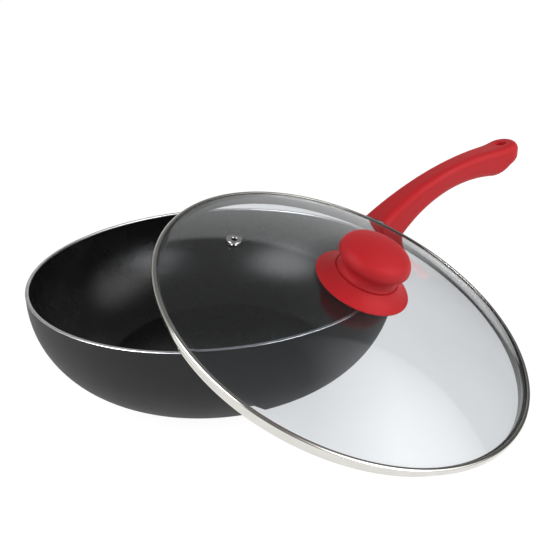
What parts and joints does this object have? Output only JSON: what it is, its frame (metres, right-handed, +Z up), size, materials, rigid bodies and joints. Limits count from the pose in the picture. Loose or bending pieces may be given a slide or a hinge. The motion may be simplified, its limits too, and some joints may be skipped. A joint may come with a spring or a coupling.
{
  "type": "wok with glass lid",
  "caption": "Deep non-stick wok with a long soft-grip handle and a domed glass lid with a mushroom knob and steam vent, the lid leaning on the rim.",
  "frame": {"origin": "centre of the pan's base, on the surface it stands on", "axes": "+Z up along the bowl's axis, +X along the handle, away from the bowl"},
  "size_m": [0.4734, 0.3772, 0.1294],
  "materials": {
    "bowl_finish": "satin dark grey lacquer, black non-stick inside, bare lip",
    "bracket_metal": "as cast",
    "guard_steel": "brushed",
    "core_plastic": "moulded, matte",
    "grip_red": "soft-touch, matte",
    "screw_steel": "zinc plated",
    "lid_glass": "clear tempered glass",
    "band_steel": "polished",
    "silicone": "translucent silicone",
    "knob_red": "soft-touch, matte",
    "brass": "machined"
  },
  "bodies": {
    "pan": {"pan_bowl": "bowl_finish", "handle_bracket": "bracket_metal", "flame_guard": "guard_steel", "handle_core": "core_plastic", "handle_grip": "grip_red", "handle_screw": "screw_steel", "spring_washer": "screw_steel"},
    "lid": {"lid_glass": "lid_glass", "lid_band": "band_steel", "vent_eyelet": "band_steel", "vent_seal_ring": "silicone", "finger_guard": "knob_red", "knob": "knob_red", "knob_insert": "brass", "knob_gasket": "silicone", "screw_seal": "silicone", "cup_washer": "band_steel", "knob_screw": "screw_steel"}
  },
  "joints": [
    {"name": "lid_lift", "type": "slide", "parent": "pan", "child": "lid", "axis": [0, 0, 1], "range_m": [0, 0.25]}
  ]
}
